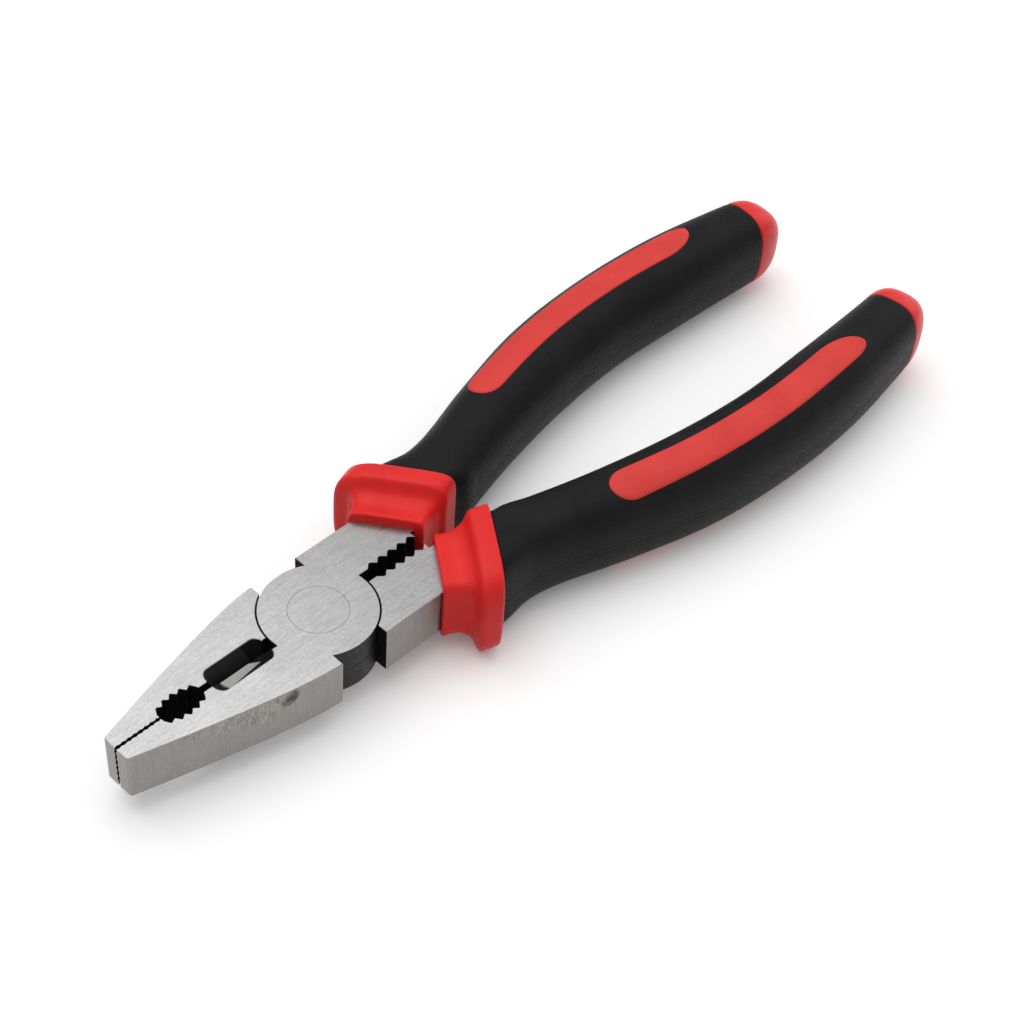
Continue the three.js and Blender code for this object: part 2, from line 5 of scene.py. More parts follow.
import bmesh
import bpy
import numpy as np
from mathutils import Euler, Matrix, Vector


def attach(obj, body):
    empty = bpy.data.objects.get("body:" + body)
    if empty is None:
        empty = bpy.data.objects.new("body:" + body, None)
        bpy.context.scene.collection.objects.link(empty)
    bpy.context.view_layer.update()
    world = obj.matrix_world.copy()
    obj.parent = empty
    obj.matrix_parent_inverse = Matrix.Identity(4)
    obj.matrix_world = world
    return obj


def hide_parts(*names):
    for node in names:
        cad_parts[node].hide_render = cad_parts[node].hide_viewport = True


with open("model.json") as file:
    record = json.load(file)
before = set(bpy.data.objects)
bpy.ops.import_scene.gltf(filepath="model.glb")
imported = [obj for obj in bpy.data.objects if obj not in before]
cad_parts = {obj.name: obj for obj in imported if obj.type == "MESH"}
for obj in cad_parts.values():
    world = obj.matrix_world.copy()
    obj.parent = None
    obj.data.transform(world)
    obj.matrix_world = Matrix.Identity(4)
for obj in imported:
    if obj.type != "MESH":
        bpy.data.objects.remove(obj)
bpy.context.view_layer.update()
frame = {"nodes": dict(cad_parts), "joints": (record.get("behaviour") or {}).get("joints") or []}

MM = 0.001
PIVOT_MM = np.array(frame["joints"][0]["pos_m"]) / MM

# Head, in millimetres about the pivot, with the middle of the head at z = 0
JAW_REACH = 45.6
HANDLE_REACH = 153.6
HEAD_TOP = 5.2
HEAD_HALF_WIDTH = 12.25
TIP_HALF_WIDTH = 3.1
TIP_ROUND = 0.5
JAW_BACK_KNEE = 13.6
SHOULDER_X = 5.3
DISC_RADIUS = 11.0
DISC_ROOM = 11.3
DISC_ROOM_BREAK = 0.1
LAP_LEVEL = 0.1
EDGE_BREAK = 0.14
TOOTH_BREAK = 0.05
BACK_STEPS = 40
TIP_STEPS = 5
DISC_STEPS = 72
TURNED_SIDES = 128
HEAD_TOOL_OVER = 6.0

# Flush rivet: its edge is broken by a width and a depth
RIVET_HEAD_RADIUS = 5.6
RIVET_SHANK_RADIUS = 4.0
RIVET_HEAD_DEPTH = 1.6
RIVET_SEAM = 0.025
RIVET_EDGE = (0.05, 0.04)
RIVET_HOLE_LIP = 0.01
RIVET_MIDDLE_RADIUS = 0.4

# Jaw edges
FLAT_HALF_GAP = 0.15
FLAT_LENGTH = 9.6
SERRATIONS = 8
SERRATION_DEPTH = 0.25
CROSS_PITCH = 1.5
CROSS_DEPTH = 0.26
CROSS_TOOL_OVER = 1.0
CROSS_TOOL_WIDTH = 2.0
CROSS_RUN_OUT = 0.02
PIPE_GRIP_LENGTH = 8.9
PIPE_TEETH = 5
PIPE_END_HALF_GAP = 0.9
PIPE_MIDDLE_HALF_GAP = 2.15
PIPE_NOTCH_DEPTH = 0.85
NECK_LENGTH = 1.9
NECK_HALF_GAP = 0.7
CUTTER_LENGTH = 13.2
CUTTER_HALF_WIDTH = 3.05
CUTTER_CORNER = 1.6
CUTTER_INSET = 2.1
ROOT_HALF_GAP = 1.4
PIPE_FRONT = FLAT_LENGTH - JAW_REACH
PIPE_REAR = PIPE_FRONT + PIPE_GRIP_LENGTH
CUTTER_FRONT = PIPE_REAR + NECK_LENGTH
CUTTER_REAR = CUTTER_FRONT + CUTTER_LENGTH

# Floor of a notch: share of the pitch from its middle, and share of its depth
NOTCH_FLOOR = [(-0.16, 0.8), (-0.11, 0.95), (-0.05, 1.0), (0.05, 1.0), (0.11, 0.95), (0.16, 0.8)]

# Recesses over the cutting edges, one on each side of the head. A ground strip on the land stops this far
# from the recess's rear end, at the land's upper side and at the cutting edge.
UPPER_RECESS = {"wall_depth": 1.15, "land_half_widths": (2.35, 1.35), "land_depth": 0.32, "flip": 1}
LOWER_RECESS = {"wall_depth": 3.35, "land_half_widths": (0.9, 0.9), "land_depth": 1.05, "flip": -1}
STRIP_STOP = (2.9, 4.6)
WALL_STOP = 4.0
RECESS_RIM = 0.12
RECESS_CORNER_STEPS = 6
RECESS_TOOL_OVER = 3.0
LAND_INSET_SHARE = 0.8
LAND_FOOT_SHARE = 0.6
LAND_FOOT_END_SHARE = 0.4

# Teeth between the tangs, and the tang inside the handle from its front to its tip
TANG_HALF_GAP = 1.2
TANG_TEETH_START = 13.2
TANG_TOOTH_PITCH = 2.4
TANG_TEETH = 5
TANG_NOTCH_DEPTH = 0.9
TANG_NECK_HALF_GAP = 2.6
TANG_SEAT_DEPTH = 2.0
TANG_FRONT_HALF = np.array([4.3, 4.4])
TANG_TIP_HALF = np.array([3.0, 3.0])
TANG_POWERS = (4, 4)
TANG_SIDES = 32
TANG_RINGS = 60
TANG_CAP_GAP = 16.0

# Front guard: half sizes are across and up, and powers are the squareness of its outer and inner side
GUARD_FRONT = np.array([23.0, 7.1])
GUARD_REAR = np.array([34.0, 10.6])
GUARD_LENGTH = float(np.linalg.norm(GUARD_REAR - GUARD_FRONT))
GUARD_TILT = 36.0
LIP_HALF = np.array([7.3, 7.4])
LIP_POWERS = np.array([7.0, 7.0])
LIP_FLARE = 1.5
LIP_LENGTH = 5.0
LIP_ROUND = 0.45
FLANGE_HALF = np.array([11.0, 10.6])
FLANGE_POWERS = np.array([3.8, 7.0])
FLANGE_OFFSET = 2.65
FLANGE_ROUND = 0.7
GUARD_EDGE_STEPS = 6

# Saddle between lip and flange: distance from the guard's front, growth of the section, and share of the
# way from lip to flange
GUARD_SADDLE = [
    (1.0, -0.06, 0.0), (1.7, -0.17, 0.0), (2.6, -0.24, 0.0), (3.5, -0.24, 0.004), (4.2, -0.18, 0.015),
    (4.8, -0.08, 0.045), (5.3, 0.0, 0.09), (5.75, 0.0, 0.17), (6.1, 0.0, 0.28), (6.4, 0.0, 0.43),
    (6.65, 0.0, 0.60), (6.9, 0.0, 0.77), (7.15, 0.0, 0.90), (7.45, 0.0, 0.97), (7.9, 0.0, 0.995),
    (8.5, 0.0, 1.0), (9.6, 0.0, 1.0),
]

# Handle stations: x, y, half width, half height, slant in degrees, squareness, and how far the grip's
# middle stands outside the tang's
FIT_GAP = 0.12
HANDLE_EDGE_STEPS = 4
RUN = HANDLE_REACH - GUARD_REAR[0]
STATIONS = np.array([
    [GUARD_FRONT[0], GUARD_FRONT[1], 8.43, 9.5, GUARD_TILT, 4.5, 0.86],
    [GUARD_REAR[0], GUARD_REAR[1], 8.43, 9.5, GUARD_TILT, 4.5, 0.86],
    [GUARD_REAR[0] + 0.05 * RUN, 11.11, 7.57, 9.2, 24.0, 3.2, 0.17],
    [GUARD_REAR[0] + 0.095 * RUN, 12.5, 7.2, 9.5, 15.0, 2.6, 0.0],
    [GUARD_REAR[0] + 0.22 * RUN, 16.81, 7.7, 10.2, 15.0, 2.35, 0.0],
    [GUARD_REAR[0] + 0.385 * RUN, 21.25, 8.5, 10.5, 9.5, 2.35, 0.0],
    [GUARD_REAR[0] + 0.55 * RUN, 23.15, 8.6, 10.5, 1.5, 2.35, 0.0],
    [GUARD_REAR[0] + 0.72 * RUN, 22.76, 8.5, 10.4, -3.0, 2.45, 0.0],
    [GUARD_REAR[0] + 0.885 * RUN, 21.0, 7.4, 9.7, -5.0, 2.7, 0.0],
    [HANDLE_REACH, 19.19, 6.6, 9.0, -6.0, 2.8, 0.0],
])
CAP_LENGTH = 9.3
CAP_DOME_POWER = 2.1
CAP_EDGE = 0.25
CAP_STEPS = 33
CAP_START = HANDLE_REACH - CAP_LENGTH
GRIP_EDGE = 0.35
GRIP_RINGS = 170
GRIP_START = GUARD_REAR[0] + FIT_GAP
GRIP_END = CAP_START - FIT_GAP
TANG_END = CAP_START - TANG_CAP_GAP

# Double parting line down the two sides of a handle
SEAM_DEPTH = 0.06
SEAM_HALF_GAP = 0.55
SEAM_WIDTH = 0.14
SEAM_FADE_POWER = 8

# Inlays: offsets across the grip at the front and rear end, and a rim of insets from the outline with
# their heights over the grip's skin
INLAY_GUARD_GAP = 24.2
INLAY_CAP_GAP = 15.8
INLAY_FRONT = GUARD_REAR[0] + INLAY_GUARD_GAP
INLAY_REAR = CAP_START - INLAY_CAP_GAP
INLAY_HALF_WIDTH = 3.4
INLAY_OFFSETS = (1.9, 0.6)
INLAY_END_ROUND = 4.5
INLAY_TAPER = 10.0
INLAY_TIP_SHARE = 0.5
INLAY_RIM = [(0.0, -1.2), (0.0, -0.05), (0.03, 0.08), (0.1, 0.16), (0.24, 0.22)]
INLAY_END_STEPS = 14
INLAY_BODY_STEPS = 90
INLAY_ROWS = 14

# Facets that meet at more than this many degrees keep a sharp edge
SHARP = {"steel": 20, "moulding": 32, "guard": 40, "inlay": 50}


def between(start, end, share):
    return start + (end - start) * share


def along(x):
    """Station values at x: y, half width, half height, slant, squareness and shift."""
    xs = STATIONS[:, 0]
    last = len(xs) - 1
    i = int(np.clip(np.searchsorted(xs, x) - 1, 0, last - 1))

    def slope(k):
        a, b = STATIONS[max(k - 1, 0)], STATIONS[min(k + 1, last)]
        return (b[1:] - a[1:]) / (b[0] - a[0])

    step = xs[i + 1] - xs[i]
    f = (x - xs[i]) / step
    held = STATIONS[i, 1:] * (1 + 2 * f) * (1 - f) ** 2 + STATIONS[i + 1, 1:] * f * f * (3 - 2 * f)
    return held + step * (slope(i) * f * (1 - f) ** 2 - slope(i + 1) * f * f * (1 - f))


def rounded(value, power):
    return np.sign(value) * np.abs(value) ** (2 / power)


def section(centre, tilt, half, powers, angles):
    """Ring of points: a rounded section square to a direction turned by tilt from +X."""
    turn = math.radians(tilt)
    power = np.where(np.cos(angles) > 0, powers[0], powers[1])
    across = rounded(np.cos(angles), power) * half[0]
    up = rounded(np.sin(angles), power) * half[1]
    return np.stack([centre[0] - math.sin(turn) * across, centre[1] + math.cos(turn) * across, up], axis=1)


def loft(rings, tip=None):
    """Closed skin over rings of equal length: flat at the front, flat or pointed at the rear."""
    count = len(rings[0])
    verts = np.concatenate(rings)
    faces = []
    for i in range(len(rings) - 1):
        a, b = i * count, (i + 1) * count
        for k in range(count):
            n = (k + 1) % count
            faces.append((a + k, a + n, b + n, b + k))
    faces.append(tuple(range(count))[::-1])
    base = (len(rings) - 1) * count
    if tip is None:
        faces.append(tuple(range(base, base + count)))
    else:
        verts = np.concatenate([verts, np.array([tip])])
        for k in range(count):
            faces.append((base + k, base + (k + 1) % count, len(verts) - 1))
    return verts, faces


def turned(profile):
    """Solid turned about the pivot from (radius, z) pairs, with flat ends."""
    angles = np.linspace(0, 2 * np.pi, TURNED_SIDES, endpoint=False)
    circle = np.column_stack([np.cos(angles), np.sin(angles)])
    return loft([np.column_stack([radius * circle, np.full(TURNED_SIDES, z)]) for radius, z in profile])


def placed(verts, side):
    """Points of one half in metres in the row frame; the left half is turned over about X."""
    pts = np.array(verts, dtype=float)
    if side == "left":
        pts = pts * np.array([1, -1, -1])
    return (pts + PIVOT_MM) * MM


def mesh_object(name, verts, faces, sharp):
    """Object with its faces turned outward, smooth up to the sharp angle."""
    mesh = bpy.data.meshes.new(name)
    mesh.from_pydata([tuple(v) for v in verts], [], faces)
    mesh.validate()
    bm = bmesh.new()
    bm.from_mesh(mesh)
    bmesh.ops.recalc_face_normals(bm, faces=bm.faces)
    bm.to_mesh(mesh)
    bm.free()
    mesh.shade_smooth()
    mesh.set_sharp_from_angle(angle=math.radians(sharp))
    obj = bpy.data.objects.new(name, mesh)
    bpy.context.scene.collection.objects.link(obj)
    return obj


# Node helpers: the colour sockets of a Mix node go by number, since its names repeat
MIX_COLOURS = (6, 7)
MIX_RESULT = 2


class NodeTree:
    """Nodes of a material or of the world."""

    def __init__(self, owner):
        owner.use_nodes = True
        self.nodes = owner.node_tree.nodes
        self.links = owner.node_tree.links

    def axes(self, system="Object"):
        """Coordinates in a system, one output for each axis."""
        place = self.nodes.new("ShaderNodeTexCoord")
        split = self.nodes.new("ShaderNodeSeparateXYZ")
        self.links.new(place.outputs[system], split.inputs["Vector"])
        return split.outputs

    def rays(self, *kinds):
        """1 for rays of these kinds, 0 for all others."""
        path = self.nodes.new("ShaderNodeLightPath")
        total = path.outputs[kinds[0]]
        for kind in kinds[1:]:
            total = self.math("MAXIMUM", total, path.outputs[kind])
        return total

    def math(self, operation, a, b):
        node = self.nodes.new("ShaderNodeMath")
        node.operation = operation
        for socket, value in zip(node.inputs, (a, b)):
            if isinstance(value, (int, float)):
                socket.default_value = value
            else:
                self.links.new(value, socket)
        return node.outputs[0]

    def remap(self, value, low, high, to_low, to_high):
        node = self.nodes.new("ShaderNodeMapRange")
        limits = {"From Min": low, "From Max": high, "To Min": to_low, "To Max": to_high}
        for socket, number in limits.items():
            node.inputs[socket].default_value = number
        self.links.new(value, node.inputs["Value"])
        return node.outputs["Result"]

    def ramp(self, value, stops):
        node = self.nodes.new("ShaderNodeValToRGB")
        while len(node.color_ramp.elements) < len(stops):
            node.color_ramp.elements.new(0.5)
        for element, (place, colour) in zip(node.color_ramp.elements, stops):
            element.position = place
            element.color = (*colour, 1)
        self.links.new(value, node.inputs["Fac"])
        return node.outputs["Color"]

    def mix(self, share, a, b):
        node = self.nodes.new("ShaderNodeMix")
        node.data_type = "RGBA"
        self.links.new(share, node.inputs[0])
        for socket, value in zip(MIX_COLOURS, (a, b)):
            if isinstance(value, tuple):
                node.inputs[socket].default_value = (*value, 1)
            else:
                self.links.new(value, node.inputs[socket])
        return node.outputs[MIX_RESULT]


class Shader(NodeTree):
    """Material around one Principled BSDF."""

    def __init__(self, name):
        self.material = bpy.data.materials.new(name)
        super().__init__(self.material)
        self.bsdf = self.nodes["Principled BSDF"]

    def set(self, **values):
        for key, value in values.items():
            self.bsdf.inputs[key.replace("_", " ")].default_value = value

    def drive(self, socket, output):
        self.links.new(output, self.bsdf.inputs[socket])

    def noise(self, scale, detail, roughness):
        """Noise over the piece, with about scale lumps to the metre along each axis."""
        place = self.nodes.new("ShaderNodeTexCoord")
        mapping = self.nodes.new("ShaderNodeMapping")
        mapping.inputs["Scale"].default_value = scale
        self.links.new(place.outputs["Object"], mapping.inputs["Vector"])
        node = self.nodes.new("ShaderNodeTexNoise")
        node.inputs["Scale"].default_value = 1.0
        node.inputs["Detail"].default_value = detail
        node.inputs["Roughness"].default_value = roughness
        self.links.new(mapping.outputs["Vector"], node.inputs["Vector"])
        return node.outputs["Fac"]

    def even_noise(self, scale, detail, roughness):
        return self.noise((scale, scale, scale), detail, roughness)

    def edges(self, radius, sharpness):
        """1 along the edges of the piece, 0 on its faces."""
        bevel = self.nodes.new("ShaderNodeBevel")
        bevel.samples = 6
        bevel.inputs["Radius"].default_value = radius
        geometry = self.nodes.new("ShaderNodeNewGeometry")
        dot = self.nodes.new("ShaderNodeVectorMath")
        dot.operation = "DOT_PRODUCT"
        self.links.new(bevel.outputs["Normal"], dot.inputs[0])
        self.links.new(geometry.outputs["Normal"], dot.inputs[1])
        return self.remap(dot.outputs["Value"], 0.998, sharpness, 0.0, 1.0)

    def bump(self, heights):
        """Chain of bumps: triples of height output, strength and distance in metres."""
        normal = None
        for height, strength, distance in heights:
            node = self.nodes.new("ShaderNodeBump")
            node.inputs["Strength"].default_value = strength
            node.inputs["Distance"].default_value = distance
            self.links.new(height, node.inputs["Height"])
            if normal is not None:
                self.links.new(normal, node.inputs["Normal"])
            normal = node.outputs["Normal"]
        self.drive("Normal", normal)


def from_pivot(*places):
    """Places along X from the pivot, in metres in the row frame."""
    return [(PIVOT_MM[0] + place) * MM for place in places]


# Materials
class GroundSteel(Shader):
    """Satin ground steel: fine streaks stretched by grain, cloudy tone and edges rubbed brighter."""

    def __init__(self, name, grain, tone, contrast, roughness):
        super().__init__(name)
        self.set(Metallic=1.0)
        fine = self.noise(grain, 3.0, 0.6)
        coarse = self.noise(tuple(scale * 0.3 for scale in grain), 2.0, 0.5)
        cloud = self.even_noise(120, 3.0, 0.55)
        speck = self.even_noise(3600, 3.0, 0.7)
        streak = self.math("ADD", self.math("MULTIPLY", fine, 0.6), self.math("MULTIPLY", coarse, 0.4))
        level = self.math("ADD", self.math("MULTIPLY", streak, 0.5), self.math("MULTIPLY", cloud, 0.1))
        level = self.math("ADD", level, self.math("MULTIPLY", speck, 0.4))
        low, high = (tuple(c + step for c in tone) for step in (-contrast, contrast))
        ground = self.ramp(level, [(0.4, low), (0.6, high)])
        worn = self.remap(cloud, 0.35, 0.65, 0.25, 0.8)
        rubbed = self.math("MULTIPLY", self.edges(0.00016, 0.9), worn)
        self.tone = self.mix(rubbed, ground, (0.66, 0.66, 0.66))
        self.satin = self.remap(streak, 0.3, 0.7, roughness - 0.06, roughness + 0.07)
        self.grain = [(fine, 0.22, 0.00003), (coarse, 0.15, 0.00005)]

    def finish(self, colour):
        self.drive("Base Color", colour)
        self.drive("Roughness", self.satin)
        self.bump(self.grain)
        return self.material


# Tops of the levers: painted shade, darker evenly from the jaws back to the guards
SHADE_FROM = -20.0
SHADE_TO = 24.0
SHADE_SHARE = 0.26


def steel_face_material():
    s = GroundSteel("steel_ground_face", (520, 5200, 5200), (0.515, 0.511, 0.515), 0.11, 0.36)
    # Painted shade: the tone is mixed towards black from the jaws back to the guards
    painted_shade = s.remap(s.axes()[0], *from_pivot(SHADE_FROM, SHADE_TO), 0.0, SHADE_SHARE)
    return s.finish(s.mix(painted_shade, s.tone, (0.0, 0.0, 0.0)))


def bright_steel_material():
    s = GroundSteel("steel_ground_facet", (5200, 700, 700), (0.48, 0.477, 0.47), 0.06, 0.34)
    return s.finish(s.tone)


# Forged skin left under the upper edge of the right jaw: share of the run from PATCH_FRONT to PATCH_REAR,
# and its depth under the edge as a share of PATCH_DEPTH. A spot of dark scale leans across it.
PATCH_FRONT = -41.0
PATCH_REAR = -8.0
PATCH_DEPTH = 8.0
PATCH_STOPS = [(0.0, 0.0), (0.15, 0.11), (0.24, 0.26), (0.34, 0.41), (0.45, 0.5), (0.56, 0.66), (0.69, 0.75),
               (0.78, 0.44), (0.82, 0.13), (0.9, 0.09), (1.0, 0.0)]
SPOT_PLACE = -15.9
SPOT_DEPTH = 2.0
SPOT_HALF = 1.75
SPOT_LEAN = 0.45


def steel_side_material():
    """Jaw sides: grain across the edge, and a rough forged patch under the upper edge."""
    # The sides' tone is darker than the tops': painted shade, for the shadowed floor they reflect
    s = GroundSteel("steel_ground_side", (4600, 4600, 300), (0.29, 0.28, 0.27), 0.05, 0.4)
    x, y, z = s.axes()
    top = (PIVOT_MM[2] + HEAD_TOP) * MM
    along_jaw = s.remap(x, *from_pivot(PATCH_FRONT, PATCH_REAR), 0.0, 1.0)
    limit = s.ramp(along_jaw, [(place, (depth,) * 3) for place, depth in PATCH_STOPS])
    depth = s.remap(z, top, top - PATCH_DEPTH * MM, 0.0, 1.0)
    ragged = s.noise((900, 900, 700), 4.0, 0.6)
    inside = s.math("ADD", s.math("SUBTRACT", limit, depth), s.remap(ragged, 0.3, 0.7, -0.05, 0.05))
    right_jaw = s.remap(y, -0.001, -0.002, 0.0, 1.0)
    patch = s.math("MULTIPLY", s.remap(inside, -0.02, 0.05, 0.0, 1.0), right_jaw)
    speckle = s.noise((2900, 2900, 800), 3.0, 0.6)
    mottle = s.noise((700, 700, 420), 3.0, 0.6)
    skin = s.ramp(s.math("ADD", s.math("MULTIPLY", speckle, 0.7), s.math("MULTIPLY", mottle, 0.3)),
                  [(0.36, (0.27, 0.25, 0.225)), (0.5, (0.40, 0.38, 0.35)), (0.62, (0.52, 0.505, 0.475))])
    from_x = s.math("DIVIDE", s.math("SUBTRACT", x, from_pivot(SPOT_PLACE)[0]), SPOT_HALF * MM)
    from_z = s.math("DIVIDE", s.math("SUBTRACT", z, top - SPOT_DEPTH * MM), SPOT_HALF * MM)
    leaning = s.math("SUBTRACT", from_x, s.math("MULTIPLY", from_z, SPOT_LEAN))
    away = s.math("ADD", s.math("MULTIPLY", leaning, leaning), s.math("MULTIPLY", from_z, from_z))
    away = s.math("ADD", away, s.remap(ragged, 0.25, 0.75, -0.9, 0.9))
    skin = s.mix(s.remap(away, 1.25, 0.0, 0.0, 0.92), skin, (0.05, 0.036, 0.028))
    s.drive("Base Color", s.mix(patch, s.tone, skin))
    s.drive("Metallic", s.remap(patch, 0.0, 1.0, 1.0, 0.55))
    s.drive("Roughness", s.math("ADD", s.satin, s.math("MULTIPLY", patch, 0.2)))
    s.bump(s.grain + [(s.math("MULTIPLY", patch, speckle), 0.5, 0.00012)])
    return s.material


def black_oxide_material():
    s = Shader("steel_black_oxide")
    s.set(Metallic=0.55)
    cloud = s.even_noise(300, 4.0, 0.6)
    fine = s.noise((2600, 2600, 900), 3.0, 0.6)
    black = s.ramp(cloud, [(0.3, (0.012, 0.012, 0.013)), (0.7, (0.022, 0.022, 0.024))])
    rubbed = s.math("MULTIPLY", s.edges(0.0001, 0.9), 0.35)
    s.drive("Base Color", s.mix(rubbed, black, (0.30, 0.30, 0.31)))
    s.drive("Roughness", s.remap(fine, 0.3, 0.7, 0.38, 0.56))
    s.bump([(fine, 0.2, 0.00003)])
    return s.material


def recess_painted_shade_material():
    """Painted shade: near-black, dull steel for the notches and recesses, where shade falls."""
    s = Shader("steel_recess_painted_shade")
    s.set(Metallic=0.0, Specular_IOR_Level=0.1)
    cloud = s.even_noise(420, 3.0, 0.6)
    fine = s.even_noise(3000, 3.0, 0.6)
    black = s.ramp(cloud, [(0.3, (0.003, 0.003, 0.003)), (0.7, (0.007, 0.007, 0.0075))])
    rubbed = s.math("MULTIPLY", s.edges(0.00008, 0.85), 0.2)
    s.drive("Base Color", s.mix(rubbed, black, (0.16, 0.16, 0.165)))
    s.drive("Roughness", s.remap(fine, 0.3, 0.7, 0.6, 0.8))
    s.bump([(fine, 0.3, 0.00004)])
    return s.material


def red_plastic_material(name, shine):
    s = Shader(name)
    s.set(Metallic=0.0, IOR=1.5, Specular_IOR_Level=shine)
    cloud = s.even_noise(160, 3.0, 0.5)
    grain = s.even_noise(3200, 2.0, 0.5)
    dye = s.ramp(cloud, [(0.3, (0.80, 0.024, 0.023)), (0.7, (0.88, 0.033, 0.030))])
    scuffed = s.math("MULTIPLY", s.edges(0.0004, 0.86), s.remap(grain, 0.4, 0.65, 0.1, 0.5))
    gloss = s.remap(grain, 0.3, 0.7, 0.3, 0.42)
    s.drive("Base Color", s.mix(scuffed, dye, (0.90, 0.075, 0.07)))
    s.drive("Roughness", s.math("ADD", gloss, s.math("MULTIPLY", scuffed, 0.15)))
    s.bump([(grain, 0.12, 0.00002), (cloud, 0.1, 0.00008)])
    return s.material


def red_inlay_material():
    s = Shader("red_soft_inlay")
    s.set(Metallic=0.0, IOR=1.45, Specular_IOR_Level=0.36)
    cloud = s.even_noise(140, 3.0, 0.5)
    grain = s.even_noise(2600, 3.0, 0.6)
    dye = s.ramp(cloud, [(0.3, (0.72, 0.044, 0.038)), (0.7, (0.79, 0.058, 0.048))])
    rubbed = s.math("MULTIPLY", s.edges(0.0003, 0.86), s.remap(grain, 0.4, 0.65, 0.1, 0.5))
    s.drive("Base Color", s.mix(rubbed, dye, (0.62, 0.03, 0.028)))
    s.drive("Roughness", s.remap(grain, 0.3, 0.7, 0.56, 0.7))
    s.bump([(grain, 0.22, 0.00003)])
    return s.material


def black_grip_material():
    s = Shader("black_soft_grip")
    s.set(Metallic=0.0, IOR=1.46, Specular_IOR_Level=0.125)
    cloud = s.even_noise(130, 3.0, 0.5)
    grain = s.even_noise(1900, 3.0, 0.65)
    rubber = s.ramp(cloud, [(0.3, (0.0108, 0.0108, 0.0120)), (0.7, (0.0152, 0.0152, 0.0168))])
    worn = s.math("MULTIPLY", s.edges(0.0005, 0.8), s.remap(grain, 0.4, 0.65, 0.1, 0.6))
    s.drive("Base Color", s.mix(worn, rubber, (0.034, 0.034, 0.036)))
    s.drive("Roughness", s.remap(grain, 0.3, 0.7, 0.36, 0.6))
    s.bump([(grain, 0.9, 0.00012)])
    return s.material


STEELS = {
    "face": steel_face_material(),
    "side": steel_side_material(),
    "bright": bright_steel_material(),
    "oxide": black_oxide_material(),
    # Painted shade for the notches, shoulders and recesses
    "recess": recess_painted_shade_material(),
}
RED_GUARD = red_plastic_material("red_guard_plastic", 0.18)
RED_CAP = red_plastic_material("red_cap_plastic", 0.42)
RED_INLAY = red_inlay_material()
BLACK_GRIP = black_grip_material()


# Plan of a lever
def notch_row(start, end, count, edge, depth, side):
    """V notches with a rounded floor between tooth tips that lie at edge(x)."""
    tips = np.linspace(start, end, count + 1)
    points = []
    for a, b in zip(tips[:-1], tips[1:]):
        middle, tip_line = (a + b) / 2, (edge(a) + edge(b)) / 2
        for share, down in NOTCH_FLOOR:
            points.append((middle + share * (b - a), side * (tip_line + down * depth)))
        points.append((b, side * edge(b)))
    return points


def pipe_edge(x):
    share = 2 * (x - PIPE_FRONT) / PIPE_GRIP_LENGTH - 1
    return between(PIPE_END_HALF_GAP, PIPE_MIDDLE_HALF_GAP, 1 - share * share)


def tang_edge(x):
    return TANG_HALF_GAP


def arc(radius, start, end, steps):
    angles = np.radians(np.linspace(start, end, steps + 1))
    return [(radius * math.cos(a), radius * math.sin(a)) for a in angles]


def bend(start, knee, end, steps):
    """Points of a curve that leaves start towards knee and comes to end from it."""
    t = np.linspace(0, 1, steps + 1)[:, None]
    return [tuple(p) for p in (1 - t) ** 2 * start + 2 * t * (1 - t) * knee + t * t * end]


